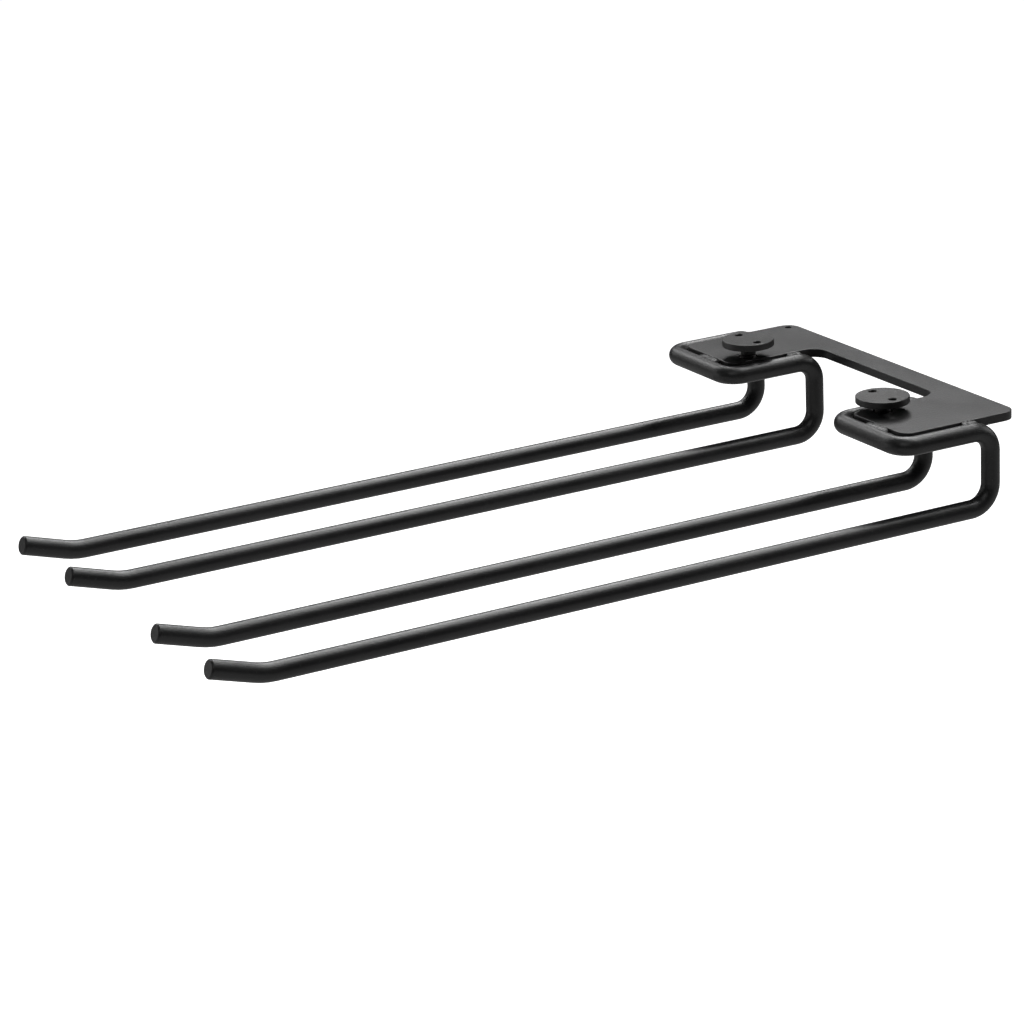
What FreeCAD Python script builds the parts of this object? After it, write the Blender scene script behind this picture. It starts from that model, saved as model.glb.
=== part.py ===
import FreeCAD, Part
import math
import os
from FreeCAD import Vector

# Under-shelf hanging rack for stemmed glasses, in millimetres.
#
# Frame: +Z is up, towards the shelf. +X is to the right, seen from the front. +Y is to the back.
# The origin is on the plate's top face, at the middle of the back bar.
# The rail tips point to the front, along -Y.
#
# The rack is a C-shaped steel plate, two bent round rods welded round the plate's arms, and
# two clamp screws that stand up through the arms. Each pair of parallel rails is a lane for
# glass feet. What the rack hangs from goes between the screws' discs and the plate.

# ---- Driving dimensions -------------------------------------------------------------------

# Plate: a back bar with two arms that point to the front.
PLATE_THICKNESS = 3.0
BACK_BAR_WIDTH = 10.0
PLATE_BACK_CORNER_R = 5.0
ARM_FRONT_CORNER_R = 4.0
CUT_OUT_CORNER_R = 6.0
PLATE_EDGE_R = 0.25
PLATE_TO_ROD_GAP = 0.02
PLATE_PROUD_OF_RODS = 0.15
HANG_HOLE_D = 2.5
HANG_HOLE_FROM_SIDE = 3.65
HANG_HOLE_FROM_BACK = 3.8

# Rods: each is one rod, from one upturned tip to the other. Sizes are to the rod's axis.
# The diameter is a 6 mm bar's, measured over its powder coat.
ROD_D = 6.3
OUTER_ROD_X = 70.0
INNER_ROD_X = 32.5
LEG_IN_FRONT_OF_BAR = 3.5
LOOP_DEPTH = 35.0
DROP = 26.0
RAIL_LENGTH = 283.5
UPPER_BEND_R = 7.0
LOWER_BEND_R = 8.0
LOOP_CORNER_R = 6.0
TIP_BEND_R = 24.0
TIP_ANGLE_DEG = 16.5
TIP_RISE = 5.4
TIP_CHAMFER = 0.5

# Weld beads, in the groove between the plate's edge and the rod.
SIDE_WELD_LENGTH = 6.0
SIDE_WELD_IN_FRONT_OF_LEG = 7.0
FRONT_WELD_LENGTH = 11.5
FRONT_WELD_MIDDLE_X = {"left": 48.5, "right": 53.0}
BEAD_R = 1.75
BEAD_AXIS_DEPTH = 1.78
BEAD_AXIS_OUT = 1.3

# Clamp screws: a flat disc with two spanner holes, on a threaded stud.
STUD_X = 40.5
STUD_BEHIND_LOOP_FRONT = 13.1
STUD_D = 6.0
STUD_LENGTH = 12.0
STUD_CHAMFER = 0.6
STUD_HOLE_D = 6.6
DISC_D = 18.0
DISC_THICKNESS = 2.3
DISC_EDGE_R = 0.25
DISC_GAP = {"left": 4.15, "right": 2.95}
SPANNER_HOLE_D = 2.8
SPANNER_HOLE_SPACING = 11.5
SPANNER_HOLE_CHAMFER = 0.2
SPIGOT_D = 4.5
SPIGOT_HEIGHT = 1.2
RUNNING_CLEARANCE = 0.05

# Threaded bushes under the arms.
BUSH_D = 9.0
BUSH_HEIGHT = 4.0
BUSH_EDGE_CHAMFER = 0.4

# ---- Sizes and places that follow ---------------------------------------------------------

UP = Vector(0, 0, 1)
SIDES = {"left": -1, "right": 1}
CUT_MARGIN = 1.0

ROD_R = ROD_D / 2
BAR_BACK_Y = BACK_BAR_WIDTH / 2
BAR_FRONT_Y = -BACK_BAR_WIDTH / 2
PLATE_UNDERSIDE_Z = -PLATE_THICKNESS
LOOP_Z = -ROD_R - PLATE_PROUD_OF_RODS
RAIL_Z = LOOP_Z - DROP
LEG_Y = BAR_FRONT_Y - LEG_IN_FRONT_OF_BAR
LOOP_FRONT_Y = LEG_Y - LOOP_DEPTH
TIP_Y = LEG_Y - RAIL_LENGTH
TIP_BEND_Y = TIP_Y + TIP_RISE / math.tan(math.radians(TIP_ANGLE_DEG))
PLATE_OUTER_X = OUTER_ROD_X - ROD_R - PLATE_TO_ROD_GAP
ARM_INNER_X = INNER_ROD_X + ROD_R + PLATE_TO_ROD_GAP
ARM_FRONT_Y = LOOP_FRONT_Y + ROD_R + PLATE_TO_ROD_GAP
STUD_Y = LOOP_FRONT_Y + STUD_BEHIND_LOOP_FRONT


def rounded_path(points, radii):
    """A wire through the points, with each inner corner rounded to its radius by an arc."""
    edges = []
    start = points[0]
    for before, corner, after, radius in zip(points, points[1:], points[2:], radii):
        towards = (before - corner).normalize()
        away = (after - corner).normalize()
        half_angle = towards.getAngle(away) / 2
        setback = radius / math.tan(half_angle)
        centre_distance = radius / math.sin(half_angle)
        arc_start = corner + towards * setback
        arc_middle = corner + (towards + away).normalize() * (centre_distance - radius)
        arc_end = corner + away * setback
        edges.append(Part.LineSegment(start, arc_start).toShape())
        edges.append(Part.Arc(arc_start, arc_middle, arc_end).toShape())
        start = arc_end
    edges.append(Part.LineSegment(start, points[-1]).toShape())
    return Part.Wire(edges)


def rounded_slab(corners, bottom_z, height):
    """A flat slab of the given height. Each corner is x, y and its rounding radius."""
    points = [Vector(x, y, bottom_z) for x, y, radius in corners]
    seam = (points[-1] + points[0]) * 0.5
    outline = rounded_path([seam] + points + [seam], [radius for x, y, radius in corners])
    return Part.Face(outline).extrude(UP * height)


def post(diameter, bottom_z, top_z, x, y):
    """An upright cylinder."""
    return Part.makeCylinder(diameter / 2, top_z - bottom_z, Vector(x, y, bottom_z), UP)


def circles_at(shape, z):
    """The shape's round edges that lie flat at height z."""
    return [
        edge
        for edge in shape.Edges
        if isinstance(edge.Curve, Part.Circle)
        and abs(edge.BoundBox.ZMin - z) < 1e-6
        and abs(edge.BoundBox.ZMax - z) < 1e-6
    ]


def mounting_plate():
    """The C-shaped plate, with a clearance hole for each stud and one small hang hole."""
    left_half = [
        (-PLATE_OUTER_X, BAR_BACK_Y, PLATE_BACK_CORNER_R),
        (-PLATE_OUTER_X, ARM_FRONT_Y, ARM_FRONT_CORNER_R),
        (-ARM_INNER_X, ARM_FRONT_Y, ARM_FRONT_CORNER_R),
        (-ARM_INNER_X, BAR_FRONT_Y, CUT_OUT_CORNER_R),
    ]
    right_half = [(-x, y, radius) for x, y, radius in reversed(left_half)]
    plate = rounded_slab(left_half + right_half, PLATE_UNDERSIDE_Z, PLATE_THICKNESS)
    level_edges = [edge for edge in plate.Edges if edge.BoundBox.ZLength < 1e-6]
    plate = plate.makeFillet(PLATE_EDGE_R, level_edges)
    hole_bottom = PLATE_UNDERSIDE_Z - CUT_MARGIN
    for sign in SIDES.values():
        plate = plate.cut(post(STUD_HOLE_D, hole_bottom, CUT_MARGIN, sign * STUD_X, STUD_Y))
    hang_x = -PLATE_OUTER_X + HANG_HOLE_FROM_SIDE
    hang_y = BAR_BACK_Y - HANG_HOLE_FROM_BACK
    return plate.cut(post(HANG_HOLE_D, hole_bottom, CUT_MARGIN, hang_x, hang_y))


def rail(side):
    """One bent rod: rail, leg, loop round the arm, leg and rail, with chamfered upturned tips."""
    sign = SIDES[side]

    def tip_to_loop(x):
        return [
            Vector(sign * x, TIP_Y, RAIL_Z + TIP_RISE),
            Vector(sign * x, TIP_BEND_Y, RAIL_Z),
            Vector(sign * x, LEG_Y, RAIL_Z),
            Vector(sign * x, LEG_Y, LOOP_Z),
            Vector(sign * x, LOOP_FRONT_Y, LOOP_Z),
        ]

    radii = [TIP_BEND_R, LOWER_BEND_R, UPPER_BEND_R, LOOP_CORNER_R]
    points = tip_to_loop(OUTER_ROD_X) + tip_to_loop(INNER_ROD_X)[::-1]
    path = rounded_path(points, radii + radii[::-1])
    start_direction = (points[1] - points[0]).normalize()
    section = Part.Wire(Part.makeCircle(ROD_R, points[0], start_direction))
    rod = path.makePipeShell([section], True, False)
    tip_rims = [edge for edge in rod.Edges if edge.isClosed() and edge.BoundBox.YMax < TIP_Y + ROD_R]
    return rod.makeChamfer(TIP_CHAMFER, tip_rims)


def weld_bead(start, end, plate, rod):
    """A round-ended bead from start to end, cut to lie against the plate and the rod."""
    along = end - start
    bead = Part.makeCylinder(BEAD_R, along.Length, start, along)
    for tip in (start, end):
        bead = bead.fuse(Part.makeSphere(BEAD_R, tip))
    return bead.removeSplitter().cut(plate).cut(rod)


def weld_lines(side):
    """The ends of each bead's axis: two along the arm's sides and one along its front."""
    sign = SIDES[side]
    back_y = LEG_Y - SIDE_WELD_IN_FRONT_OF_LEG + SIDE_WELD_LENGTH / 2 - BEAD_R
    front_y = back_y - SIDE_WELD_LENGTH + 2 * BEAD_R
    outer_x = sign * (PLATE_OUTER_X + BEAD_AXIS_OUT)
    inner_x = sign * (ARM_INNER_X - BEAD_AXIS_OUT)
    groove_y = ARM_FRONT_Y - BEAD_AXIS_OUT
    middle_x = sign * FRONT_WELD_MIDDLE_X[side]
    reach = FRONT_WELD_LENGTH / 2 - BEAD_R
    ends = {
        "outer": [(outer_x, front_y), (outer_x, back_y)],
        "inner": [(inner_x, front_y), (inner_x, back_y)],
        "front": [(middle_x - reach, groove_y), (middle_x + reach, groove_y)],
    }
    return {
        place: [Vector(x, y, -BEAD_AXIS_DEPTH) for x, y in pair] for place, pair in ends.items()
    }


def clamp_disc(side):
    """The flat disc, with two chamfered spanner holes and a blind socket for the spigot."""
    x = SIDES[side] * STUD_X
    underside = DISC_GAP[side]
    top = underside + DISC_THICKNESS
    disc = post(DISC_D, underside, top, x, STUD_Y)
    disc = disc.makeFillet(DISC_EDGE_R, circles_at(disc, underside) + circles_at(disc, top))
    for sign in SIDES.values():
        hole_x = x + sign * SPANNER_HOLE_SPACING / 2
        hole = post(SPANNER_HOLE_D, underside - CUT_MARGIN, top + CUT_MARGIN, hole_x, STUD_Y)
        disc = disc.cut(hole)
    rims = [
        edge
        for edge in circles_at(disc, underside) + circles_at(disc, top)
        if abs(edge.Curve.Radius - SPANNER_HOLE_D / 2) < 1e-6
    ]
    disc = disc.makeChamfer(SPANNER_HOLE_CHAMFER, rims)
    socket_d = SPIGOT_D + 2 * RUNNING_CLEARANCE
    socket_top = underside + SPIGOT_HEIGHT + RUNNING_CLEARANCE
    return disc.cut(post(socket_d, underside - CUT_MARGIN, socket_top, x, STUD_Y))


def clamp_stud(side):
    """The stud under the disc. Its thread is drawn as a cylinder of the thread's outer size."""
    x = SIDES[side] * STUD_X
    shoulder = DISC_GAP[side] - RUNNING_CLEARANCE
    bottom = DISC_GAP[side] - STUD_LENGTH
    stud = post(STUD_D, bottom, shoulder, x, STUD_Y)
    stud = stud.makeChamfer(STUD_CHAMFER, circles_at(stud, bottom))
    spigot = post(SPIGOT_D, shoulder, DISC_GAP[side] + SPIGOT_HEIGHT, x, STUD_Y)
    return stud.fuse(spigot).removeSplitter()


def stud_bush(side):
    """The round bush under the arm that the stud turns in. Its thread is a plain bore."""
    x = SIDES[side] * STUD_X
    bottom = PLATE_UNDERSIDE_Z - BUSH_HEIGHT
    bush = post(BUSH_D, bottom, PLATE_UNDERSIDE_Z, x, STUD_Y)
    bush = bush.makeChamfer(BUSH_EDGE_CHAMFER, circles_at(bush, bottom))
    bore_d = STUD_D + 2 * RUNNING_CLEARANCE
    return bush.cut(post(bore_d, bottom - CUT_MARGIN, CUT_MARGIN, x, STUD_Y))


def rack():
    """Every piece of the rack, by name."""
    plate = mounting_plate()
    pieces = {"mounting_plate": plate}
    for side in SIDES:
        rod = rail(side)
        pieces["rail_" + side] = rod
        for place, (start, end) in weld_lines(side).items():
            pieces["weld_{}_{}".format(side, place)] = weld_bead(start, end, plate, rod)
        pieces["clamp_disc_" + side] = clamp_disc(side)
        pieces["clamp_stud_" + side] = clamp_stud(side)
        pieces["stud_bush_" + side] = stud_bush(side)
    return pieces


os.makedirs("parts", exist_ok=True)
for name, shape in rack().items():
    shape.exportStep("parts/{}.step".format(name))
    print(name, len(shape.Solids), "solid, valid", shape.isValid(), round(shape.Volume, 1), "mm3")
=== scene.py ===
import math

import bpy
from mathutils import Matrix, Vector, noise


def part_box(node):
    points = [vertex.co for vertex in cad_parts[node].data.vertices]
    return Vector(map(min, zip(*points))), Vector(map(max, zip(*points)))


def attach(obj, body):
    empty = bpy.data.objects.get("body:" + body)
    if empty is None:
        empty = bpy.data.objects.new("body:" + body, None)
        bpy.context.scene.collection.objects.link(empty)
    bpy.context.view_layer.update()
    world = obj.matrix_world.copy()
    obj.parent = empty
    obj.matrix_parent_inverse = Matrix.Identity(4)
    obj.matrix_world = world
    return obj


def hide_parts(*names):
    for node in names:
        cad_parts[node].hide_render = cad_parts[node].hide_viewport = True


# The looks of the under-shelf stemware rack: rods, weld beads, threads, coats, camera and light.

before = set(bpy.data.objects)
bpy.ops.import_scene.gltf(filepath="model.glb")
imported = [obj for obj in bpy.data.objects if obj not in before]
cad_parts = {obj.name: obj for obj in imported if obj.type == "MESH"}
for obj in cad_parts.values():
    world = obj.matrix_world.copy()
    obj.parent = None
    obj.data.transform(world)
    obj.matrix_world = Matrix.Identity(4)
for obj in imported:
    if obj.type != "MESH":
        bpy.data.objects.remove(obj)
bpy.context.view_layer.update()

MM = 0.001
SIDES = {"left": -1, "right": 1}

# Sizes in millimetres, as in the CAD model. The rod is a hair thinner, to stay in its box.
ROD_R = 3.14
OUTER_ROD_X = 70.0
INNER_ROD_X = 32.5
LEG_Y = -8.5
LOOP_FRONT_Y = -43.5
TIP_Y = -292.0
LOOP_Z = -3.3
RAIL_Z = -29.3
TIP_RISE = 5.4
TIP_ANGLE_DEG = 16.5
BEND_RADII = (24.0, 8.0, 7.0, 6.0)
TIP_CHAMFER = 0.5
ROD_AROUND = 64

BEAD_HALF_WIDTH = 2.35
BEAD_HALF_HEIGHT = 1.75
BEAD_SQUARENESS = 2.3
BEAD_AXIS_OUT = 1.25
BEAD_AXIS_Z = -1.55
BEAD_TOP_LIMIT = -0.02
BEAD_RIPPLE_PITCH = 1.7
BEAD_RIPPLE_DEPTH = 0.24
BEAD_LUMP = 0.22
BEAD_ROWS, BEAD_AROUND = 84, 56
BEAD_FLATTEN = 0.1
GAP = 0.02

THREAD_PITCH = 1.0
THREAD_MAJOR_R = 2.96
THREAD_MINOR_R = 2.39
SHANK_R = 2.66
SHANK_LENGTH = 3.2
STUD_AROUND = 48
THREAD_STEPS = 40
# One turn's section: across the ridge in pitches, and the share of the thread's depth.
THREAD_PROFILE = (
    (-0.47, -0.10),
    (-0.41, 0.03),
    (-0.10, 0.94),
    (-0.05, 1.0),
    (0.05, 1.0),
    (0.10, 0.94),
    (0.41, 0.03),
    (0.47, -0.10),
)


# ---- Mesh helpers -------------------------------------------------------------------------
def add_mesh(name, vertices, faces, wear=None):
    """A smooth-shaded object from vertices in millimetres. wear is one value for each vertex."""
    mesh = bpy.data.meshes.new(name)
    mesh.from_pydata([Vector(v) * MM for v in vertices], [], faces)
    mesh.validate()
    mesh.update()
    mesh.shade_smooth()
    if wear is not None:
        layer = mesh.attributes.new("wear", "FLOAT", "POINT")
        layer.data.foreach_set("value", wear)
    piece = bpy.data.objects.new(name, mesh)
    bpy.context.scene.collection.objects.link(piece)
    return piece


def outward(vertices, faces):
    """The faces of a closed skin, turned over if they face inwards."""
    volume = 0.0
    for face in faces:
        for b, c in zip(face[1:], face[2:]):
            volume += vertices[face[0]].dot(vertices[b].cross(vertices[c]))
    return faces if volume > 0 else [face[::-1] for face in faces]


def closed_loft(rings):
    """Vertices and faces of a closed skin over the rings. The first and last are single points."""
    count = len(rings[1])
    vertices = [rings[0]] + [v for ring in rings[1:-1] for v in ring] + [rings[-1]]
    faces = []
    for i in range(count):
        faces.append((0, 1 + (i + 1) % count, 1 + i))
    for row in range(len(rings) - 3):
        a, b = 1 + row * count, 1 + (row + 1) * count
        for i in range(count):
            j = (i + 1) % count
            faces.append((a + i, a + j, b + j, b + i))
    last, a = len(vertices) - 1, 1 + (len(rings) - 3) * count
    for i in range(count):
        faces.append((a + i, a + (i + 1) % count, last))
    return vertices, outward(vertices, faces)


def rounded_path(points, radii, straight_step=9.0, arc_step_deg=5.0):
    """Points along the lines and arcs of a bent rod's axis."""
    path = [points[0]]

    def run_to(end):
        start = path[-1]
        steps = max(1, round((end - start).length / straight_step))
        path.extend(start.lerp(end, k / steps) for k in range(1, steps + 1))

    for before, corner, after, radius in zip(points, points[1:], points[2:], radii):
        towards = (before - corner).normalized()
        away = (after - corner).normalized()
        half = towards.angle(away) / 2
        turn = math.pi - 2 * half
        run_to(corner + towards * (radius / math.tan(half)))
        centre = corner + (towards + away).normalized() * (radius / math.sin(half))
        first = path[-1] - centre
        axis = (-towards).cross(away).normalized()
        steps = max(3, round(math.degrees(turn) / arc_step_deg))
        for k in range(1, steps + 1):
            path.append(centre + Matrix.Rotation(turn * k / steps, 3, axis) @ first)
    run_to(points[-1])
    return path


def section(point, side, over, radius, around):
    """A ring of points round one place on an axis."""
    return [
        point
        + side * (radius * math.cos(2 * math.pi * i / around))
        + over * (radius * math.sin(2 * math.pi * i / around))
        for i in range(around)
    ]


def tube_rings(path, radius, around):
    """Round sections along a path, with no twist between them, and the frame of each."""
    frames = []
    tangent = (path[1] - path[0]).normalized()
    side = tangent.orthogonal().normalized()
    for k, point in enumerate(path):
        ahead = path[min(k + 1, len(path) - 1)] - path[max(k - 1, 0)]
        new_tangent = ahead.normalized()
        side = tangent.rotation_difference(new_tangent) @ side
        tangent = new_tangent
        side = (side - tangent * side.dot(tangent)).normalized()
        over = tangent.cross(side)
        frames.append((point, tangent, side, over))
    return [section(p, s, o, radius, around) for p, t, s, o in frames], frames


# ---- Materials ----------------------------------------------------------------------------
class Nodes:
    """A short way to build a material's node tree."""

    def __init__(self, name):
        self.material = bpy.data.materials.new(name)
        self.material.use_nodes = True
        self.tree = self.material.node_tree
        self.shader = self.tree.nodes["Principled BSDF"]
        self.place = self.tree.nodes.new("ShaderNodeTexCoord").outputs["Object"]

    def link(self, source, target):
        self.tree.links.new(source, target)

    def noise(self, size_mm, detail=2.0, roughness=0.5, stretch=None):
        """Noise from 0 to 1, with features of about the given size."""
        node = self.tree.nodes.new("ShaderNodeTexNoise")
        node.inputs["Scale"].default_value = 1.0 / (size_mm * MM)
        node.inputs["Detail"].default_value = detail
        node.inputs["Roughness"].default_value = roughness
        place = self.place
        if stretch:
            mapping = self.tree.nodes.new("ShaderNodeMapping")
            mapping.inputs["Scale"].default_value = stretch
            self.link(place, mapping.inputs["Vector"])
            place = mapping.outputs["Vector"]
        self.link(place, node.inputs["Vector"])
        return node.outputs["Fac"]

    def math(self, operation, *values):
        node = self.tree.nodes.new("ShaderNodeMath")
        node.operation = operation
        for socket, value in zip(node.inputs, values):
            if isinstance(value, (int, float)):
                socket.default_value = value
            else:
                self.link(value, socket)
        return node.outputs[0]

    def ramp(self, source, low, high):
        """A smooth step: 0 where the source is at low, 1 where it is at high."""
        node = self.tree.nodes.new("ShaderNodeMapRange")
        node.interpolation_type = "SMOOTHSTEP"
        node.inputs["From Min"].default_value = low
        node.inputs["From Max"].default_value = high
        self.link(source, node.inputs["Value"])
        return node.outputs["Result"]

    def mix(self, factor, a, b):
        node = self.tree.nodes.new("ShaderNodeMix")
        node.data_type = "RGBA"
        self.link(factor, node.inputs["Factor"])
        for socket, value in ((node.inputs[6], a), (node.inputs[7], b)):
            if isinstance(value, tuple):
                socket.default_value = (*value, 1.0)
            else:
                self.link(value, socket)
        return node.outputs[2]

    def edges(self, radius_mm):
        """Where the surface turns sharply: 0 on flats, up to 1 on edges."""
        bevel = self.tree.nodes.new("ShaderNodeBevel")
        bevel.samples = 4
        bevel.inputs["Radius"].default_value = radius_mm * MM
        geometry = self.tree.nodes.new("ShaderNodeNewGeometry")
        dot = self.tree.nodes.new("ShaderNodeVectorMath")
        dot.operation = "DOT_PRODUCT"
        self.link(bevel.outputs["Normal"], dot.inputs[0])
        self.link(geometry.outputs["Normal"], dot.inputs[1])
        return self.ramp(dot.outputs["Value"], 0.995, 0.86)

    def attribute(self, name):
        node = self.tree.nodes.new("ShaderNodeAttribute")
        node.attribute_name = name
        return node.outputs["Fac"]

    def bump(self, height, depth_mm, strength, before=None):
        node = self.tree.nodes.new("ShaderNodeBump")
        node.inputs["Strength"].default_value = strength
        node.inputs["Distance"].default_value = depth_mm * MM
        self.link(height, node.inputs["Height"])
        if before is not None:
            self.link(before, node.inputs["Normal"])
        return node.outputs["Normal"]

    def finish(self, colour, roughness, normal):
        self.link(colour, self.shader.inputs["Base Color"])
        self.link(roughness, self.shader.inputs["Roughness"])
        self.link(normal, self.shader.inputs["Normal"])
        return self.material


def powder_coat(name, dark, light, roughness, grain_mm, edge_radius_mm=0.5):
    """Fine-texture black powder coat: grain, soft peel, slow patches, specks, and edges lightened
    partly as rubbed coat and partly as a painted edge highlight.
    """
    n = Nodes(name)
    n.shader.inputs["IOR"].default_value = 1.5
    patches = n.ramp(n.noise(24, 3.0, 0.55), 0.34, 0.66)
    grain = n.noise(grain_mm, 2.0, 0.6)
    peel = n.noise(1.1, 2.0, 0.6)
    specks = n.ramp(n.noise(0.55, 1.0, 0.5), 0.70, 0.76)
    uneven = n.ramp(n.noise(3.2, 3.0), 0.38, 0.66)
    rubbed_and_edge_highlight = n.math("MULTIPLY", n.edges(edge_radius_mm), uneven)
    colour = n.mix(patches, dark, light)
    colour = n.mix(n.math("MULTIPLY", specks, 0.5), colour, (0.09, 0.09, 0.09))
    # Edges get a lighter colour: partly rubbed-thin coat, partly a painted highlight along the
    # edges.
    colour = n.mix(n.math("MULTIPLY", rubbed_and_edge_highlight, 0.6), colour, (0.085, 0.084, 0.082))
    rough = n.math("MULTIPLY_ADD", grain, 0.16, roughness - 0.08)
    rough = n.math("SUBTRACT", rough, n.math("MULTIPLY", rubbed_and_edge_highlight, 0.10))
    rough = n.math("ADD", rough, n.math("MULTIPLY", patches, 0.03))
    normal = n.bump(grain, 0.06, 0.75)
    normal = n.bump(peel, 0.09, 0.8, normal)
    return n.finish(colour, rough, normal)


def thread_steel(name):
    """Black-oxide steel: dark flanks, worn brighter crests, a little oil."""
    n = Nodes(name)
    n.shader.inputs["Metallic"].default_value = 0.5
    patches = n.ramp(n.noise(2.5, 3.0), 0.35, 0.65)
    marks = n.noise(0.35, 2.0, 0.6, stretch=(1, 1, 6))
    worn = n.math("MULTIPLY", n.attribute("wear"), n.ramp(n.noise(1.1, 2.0), 0.35, 0.6))
    colour = n.mix(patches, (0.060, 0.060, 0.062), (0.095, 0.093, 0.090))
    colour = n.mix(n.math("MULTIPLY", worn, 0.55), colour, (0.22, 0.215, 0.205))
    rough = n.math("MULTIPLY_ADD", marks, 0.22, 0.34)
    return n.finish(colour, rough, n.bump(marks, 0.012, 0.5))


frame_coat = powder_coat(
    "frame_coat", (0.017, 0.017, 0.0172), (0.024, 0.024, 0.0243), 0.355, 0.50
)
weld_coat = powder_coat(
    "weld_coat", (0.021, 0.021, 0.0212), (0.034, 0.034, 0.034), 0.40, 0.36, 0.25
)
disc_coat = powder_coat(
    "disc_coat", (0.019, 0.019, 0.0186), (0.027, 0.0268, 0.026), 0.34, 0.36
)
stud_steel = thread_steel("stud_steel")


def finish_piece(piece, body, slot, material, *stands_for):
    """Gives a new piece its material and its body, and hides the CAD nodes it stands for. The slot
    is not used.
    """
    piece.data.materials.append(material)
    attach(piece, body)
    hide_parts(*stands_for)


# ---- Rods ---------------------------------------------------------------------------------
def end_rings(frame_at, sign):
    """Sections that close a rod's end, a chamfer with soft corners and a flat face."""
    point, tangent, side, over = frame_at
    face_r = ROD_R - TIP_CHAMFER
    outline = [
        (TIP_CHAMFER + 0.25, ROD_R),
        (TIP_CHAMFER + 0.10, ROD_R - 0.004),
        (TIP_CHAMFER - 0.05, ROD_R - 0.06),
        (0.12, face_r + 0.10),
        (0.03, face_r - 0.02),
        (0.0, face_r - 0.16),
        (0.0, face_r - 0.5),
        (0.0, face_r * 0.5),
    ]
    rings = [
        section(point - tangent * (sign * depth), side, over, radius, ROD_AROUND)
        for depth, radius in outline
    ]
    return rings, point


def build_rod(side):
    """One bent rod, from its outer tip round the arm to its inner tip."""
    sign = SIDES[side]
    tip_bend_y = TIP_Y + TIP_RISE / math.tan(math.radians(TIP_ANGLE_DEG))

    def tip_to_loop(x):
        return [
            Vector((sign * x, TIP_Y, RAIL_Z + TIP_RISE)),
            Vector((sign * x, tip_bend_y, RAIL_Z)),
            Vector((sign * x, LEG_Y, RAIL_Z)),
            Vector((sign * x, LEG_Y, LOOP_Z)),
            Vector((sign * x, LOOP_FRONT_Y, LOOP_Z)),
        ]

    points = tip_to_loop(OUTER_ROD_X) + tip_to_loop(INNER_ROD_X)[::-1]
    path = rounded_path(points, BEND_RADII + BEND_RADII[::-1])
    rings, frames = tube_rings(path, ROD_R, ROD_AROUND)
    start, start_point = end_rings(frames[0], -1)
    finish, finish_point = end_rings(frames[-1], 1)
    body = start[::-1] + rings[1:-1] + finish
    vertices, faces = closed_loft([start_point] + body + [finish_point])
    piece = add_mesh("rod_" + side, vertices, faces)
    finish_piece(piece, "rack", "frame_coat", frame_coat, "rail_" + side)


# ---- Weld beads ---------------------------------------------------------------------------
def build_bead(name, seed, reverse):
    """A bead laid in overlapping ripples, along the CAD bead's axis and as long."""
    low, high = (Vector(c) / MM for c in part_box(name))
    size = high - low
    along_x = size.x > size.y
    length = size.x if along_x else size.y
    middle = (low + high) / 2
    sign = 1 if middle.x > 0 else -1
    if along_x:
        along = Vector((1, 0, 0))
        out = Vector((0, -1, 0))
        edge = Vector((middle.x, LOOP_FRONT_Y + ROD_R + GAP, 0))
    else:
        along = Vector((0, 1, 0))
        outer = abs(middle.x) > (OUTER_ROD_X + INNER_ROD_X) / 2
        out = Vector((sign if outer else -sign, 0, 0))
        edge_x = OUTER_ROD_X - ROD_R - GAP if outer else INNER_ROD_X + ROD_R + GAP
        edge = Vector((sign * edge_x, middle.y, 0))
    if reverse:
        along = -along
    centre = edge + out * BEAD_AXIS_OUT + Vector((0, 0, BEAD_AXIS_Z))
    seed_place = Vector((seed * 7.3, seed * 3.1, 0))
    rings = []
    for row in range(1, BEAD_ROWS):
        s = -math.cos(math.pi * row / BEAD_ROWS)
        envelope = (1 - abs(s) ** 5) ** 0.5
        place = s * length / 2
        drift = noise.noise(seed_place + Vector((0, 0, place * 0.35)))
        swell = 1 + 0.10 * noise.noise(seed_place + Vector((5, 0, place * 0.45)))
        ring = []
        for i in range(BEAD_AROUND):
            angle = 2 * math.pi * i / BEAD_AROUND
            up, across = math.sin(angle), math.cos(angle)
            radius = (
                abs(across / (BEAD_HALF_WIDTH * swell)) ** BEAD_SQUARENESS
                + abs(up / BEAD_HALF_HEIGHT) ** BEAD_SQUARENESS
            ) ** (-1 / BEAD_SQUARENESS)
            bow = 0.30 * (radius * across - 0.2) ** 2
            phase = (place + bow + 0.35 * drift) / BEAD_RIPPLE_PITCH
            step = phase - math.floor(phase)
            crest = step**1.6 * (1 - step**8) * 1.5
            lump = noise.noise(seed_place + Vector((place * 0.8, across * 0.9, up * 0.9)))
            radius += BEAD_RIPPLE_DEPTH * (crest - 1) + BEAD_LUMP * lump
            radius *= envelope
            height = BEAD_AXIS_Z + radius * up
            flat_from = BEAD_TOP_LIMIT - BEAD_FLATTEN
            if height > flat_from:
                over = height - flat_from
                height = flat_from + BEAD_FLATTEN * math.tanh(over / BEAD_FLATTEN)
            point = centre + along * place + out * (radius * across)
            ring.append(Vector((point.x, point.y, height)))
        rings.append(ring)
    ends = [centre - along * (length / 2), centre + along * (length / 2)]
    vertices, faces = closed_loft([ends[0]] + rings + [ends[1]])
    piece = add_mesh(name.replace("weld", "bead"), vertices, faces)
    finish_piece(piece, "rack", "weld_coat", weld_coat, name)


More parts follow.
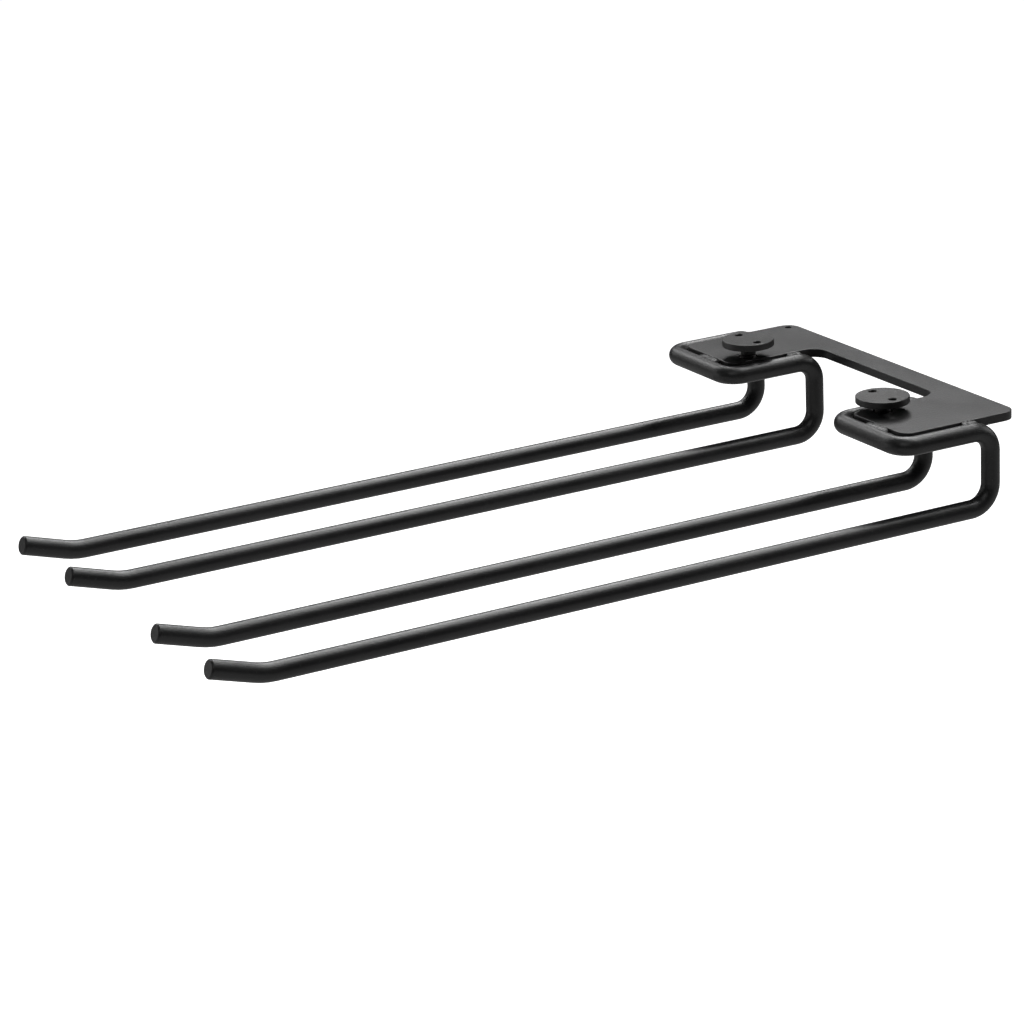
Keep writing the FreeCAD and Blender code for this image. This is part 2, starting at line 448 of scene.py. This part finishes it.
# ---- Studs --------------------------------------------------------------------------------
def build_stud(side):
    """The threaded stud. It turns and travels with its disc, as the real welded screw does."""
    node = "clamp_stud_" + side
    low, high = (Vector(c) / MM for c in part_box(node))
    x, y = (low.x + high.x) / 2, (low.y + high.y) / 2
    bottom = low.z
    disc_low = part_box("clamp_disc_" + side)[0].z / MM
    top = disc_low + 0.6
    neck = disc_low - SHANK_LENGTH
    # Radius and height of the core's outline, upwards.
    core = [
        (THREAD_MINOR_R - 0.42, bottom),
        (THREAD_MINOR_R - 0.30, bottom + 0.03),
        (THREAD_MINOR_R + 0.02, bottom + 0.38),
        (THREAD_MINOR_R, bottom + 0.6),
        (THREAD_MINOR_R, neck - 0.4),
        (THREAD_MINOR_R + 0.04, neck - 0.1),
        (SHANK_R - 0.05, neck + 0.22),
        (SHANK_R, neck + 0.34),
        (SHANK_R, neck + 0.6),
        (SHANK_R, disc_low - 0.7),
        (SHANK_R + 0.02, disc_low - 0.5),
        (SHANK_R + 0.12, disc_low - 0.2),
        (SHANK_R + 0.34, disc_low),
        (SHANK_R + 0.36, top),
    ]
    east, north = Vector((1, 0, 0)), Vector((0, 1, 0))
    rings = [Vector((x, y, bottom))]
    rings += [section(Vector((x, y, z)), east, north, r, STUD_AROUND) for r, z in core]
    rings += [Vector((x, y, top))]
    vertices, faces = closed_loft(rings)
    wear = [0.0] * len(vertices)

    # The ridge is one helix that fades out at both ends.
    first, last = bottom + 0.30, neck
    turns = (last - first) / THREAD_PITCH
    total = int(turns * THREAD_STEPS)
    depth = THREAD_MAJOR_R - THREAD_MINOR_R
    start = len(vertices)
    for k in range(total + 1):
        angle = 2 * math.pi * k / THREAD_STEPS
        z = first + THREAD_PITCH * k / THREAD_STEPS
        fade_in = (k + 1) / (0.8 * THREAD_STEPS)
        fade_out = (total - k + 1) / (0.5 * THREAD_STEPS)
        fade = min(1.0, fade_in, fade_out)
        chamfer = min(1.0, max(0.0, (z - bottom) / 0.75))
        height = depth * min(fade, chamfer)
        for across, share in THREAD_PROFILE:
            radius = THREAD_MINOR_R + height * share - (0.0 if share > 0 else 0.06)
            vertices.append(Vector((
                x + radius * math.cos(angle),
                y + radius * math.sin(angle),
                z + across * THREAD_PITCH,
            )))
            wear.append(1.0 if share > 0.9 else 0.0)
    n = len(THREAD_PROFILE)
    ridge = []
    for k in range(total):
        for j in range(n):
            a, b = start + k * n + j, start + k * n + (j + 1) % n
            ridge.append((a, b, b + n, a + n))
    ridge.append(tuple(start + j for j in range(n))[::-1])
    ridge.append(tuple(start + total * n + j for j in range(n)))
    faces += outward(vertices, ridge)
    piece = add_mesh("thread_" + side, vertices, faces, wear)
    finish_piece(piece, "disc_" + side, "stud_steel", stud_steel, node)


for side in SIDES:
    build_rod(side)
    build_stud(side)
PLACES = ("outer", "inner", "front")
for number, (side, place) in enumerate((s, p) for s in SIDES for p in PLACES):
    build_bead("weld_{}_{}".format(side, place), number + 1, number % 2 == 1)

KEPT = {
    "mounting_plate": frame_coat,
    "stud_bush_left": frame_coat,
    "stud_bush_right": frame_coat,
    "clamp_disc_left": disc_coat,
    "clamp_disc_right": disc_coat,
}
for name, material in KEPT.items():
    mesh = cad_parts[name].data
    mesh.materials.clear()
    mesh.materials.append(material)


# ---- Camera -------------------------------------------------------------------------------
def make_camera(azimuth, elevation, roll, distance, target, lens):
    """A camera that looks at the target. The angles are in degrees, the lens in millimetres."""
    az, el, ro = (math.radians(a) for a in (azimuth, elevation, roll))
    forward = Vector((-math.sin(az) * math.cos(el), math.cos(az) * math.cos(el), -math.sin(el)))
    level = Vector((math.cos(az), math.sin(az), 0.0))
    upright = level.cross(forward)
    right = level * math.cos(ro) + upright * math.sin(ro)
    up = upright * math.cos(ro) - level * math.sin(ro)
    place = Vector(target) - forward * distance
    data = bpy.data.cameras.new("camera")
    data.sensor_width = 36.0
    data.lens = lens
    data.clip_start = 0.05
    data.clip_end = 100.0
    camera = bpy.data.objects.new("camera", data)
    bpy.context.scene.collection.objects.link(camera)
    axes = Matrix((right, up, -forward)).transposed().to_4x4()
    camera.matrix_world = Matrix.Translation(place) @ axes
    bpy.context.scene.camera = camera


make_camera(
    azimuth=61.057,
    elevation=18.225,
    roll=-2.475,
    distance=1262.35 * MM,
    target=(1.9 * MM, -150 * MM, -21.69 * MM),
    lens=136.55,
)


# ---- Stage: floor, world and lights -------------------------------------------------------
def area_light(name, place, target, width, height, watts):
    """A rectangle of light that faces the target. Its width runs along X, as far as it can."""
    data = bpy.data.lights.new(name, "AREA")
    data.shape = "RECTANGLE"
    data.size = width
    data.size_y = height
    data.energy = watts
    light = bpy.data.objects.new(name, data)
    bpy.context.scene.collection.objects.link(light)
    back = (Vector(place) - Vector(target)).normalized()
    across = Vector((1, 0, 0))
    across = (across - back * across.dot(back)).normalized()
    axes = Matrix((across, back.cross(across), back)).transposed().to_4x4()
    light.matrix_world = Matrix.Translation(place) @ axes
    light.visible_camera = False


FLOOR_HALF_SIZE = 12.0
FLOOR_Z = -0.5


def stage():
    """A white floor that gives no light to the rack, and the lights, mostly behind and above."""
    scene = bpy.context.scene
    scene.view_settings.view_transform = "Standard"
    world = bpy.data.worlds.new("world")
    scene.world = world
    world.use_nodes = True
    back = world.node_tree.nodes["Background"]
    back.inputs["Color"].default_value = (1, 1, 1, 1)
    back.inputs["Strength"].default_value = 1.0
    world.cycles_visibility.diffuse = False
    world.cycles_visibility.glossy = False

    mesh = bpy.data.meshes.new("floor")
    half, z = FLOOR_HALF_SIZE, FLOOR_Z
    corners = [(-half, -half, z), (half, -half, z), (half, half, z), (-half, half, z)]
    mesh.from_pydata(corners, [], [(0, 1, 2, 3)])
    floor = bpy.data.objects.new("floor", mesh)
    scene.collection.objects.link(floor)
    mat = bpy.data.materials.new("floor")
    mat.use_nodes = True
    shader = mat.node_tree.nodes["Principled BSDF"]
    shader.inputs["Base Color"].default_value = (0.9, 0.9, 0.9, 1)
    shader.inputs["Roughness"].default_value = 0.9
    shader.inputs["Emission Color"].default_value = (1, 1, 1, 1)
    shader.inputs["Emission Strength"].default_value = 1.0
    mesh.materials.append(mat)
    floor.visible_glossy = False
    floor.visible_diffuse = False

    middle = (0, -0.15, -0.015)
    area_light("key", (-0.97, 0.632, 1.141), middle, 0.58, 0.6, 10.6)
    area_light("top_left", (-0.466, 0.632, 1.421), middle, 0.58, 0.6, 6.6)
    area_light("top", (0.105, 0.632, 1.491), middle, 0.62, 0.6, 8.4)
    area_light("top_right", (0.662, 0.632, 1.342), middle, 0.58, 0.6, 1.2)
    area_light("left", (-1.411, -0.116, 0.93), middle, 0.58, 0.7, 5.5)
    area_light("left_front", (-1.411, -0.796, 0.682), middle, 0.58, 0.7, 1.7)
    area_light("front_right", (0.935, -0.915, 1.175), middle, 0.8, 0.8, 2.6)
    area_light("behind", (0.255, 1.43, 0.55), middle, 1.0, 0.5, 4.0)
    area_light("floor_glow", (0.0, -0.15, -0.49), middle, 5.0, 5.0, 31)
    area_light("fill_left", (-1.0, -1.6, 0.1), middle, 1.2, 0.9, 3.0)


stage()
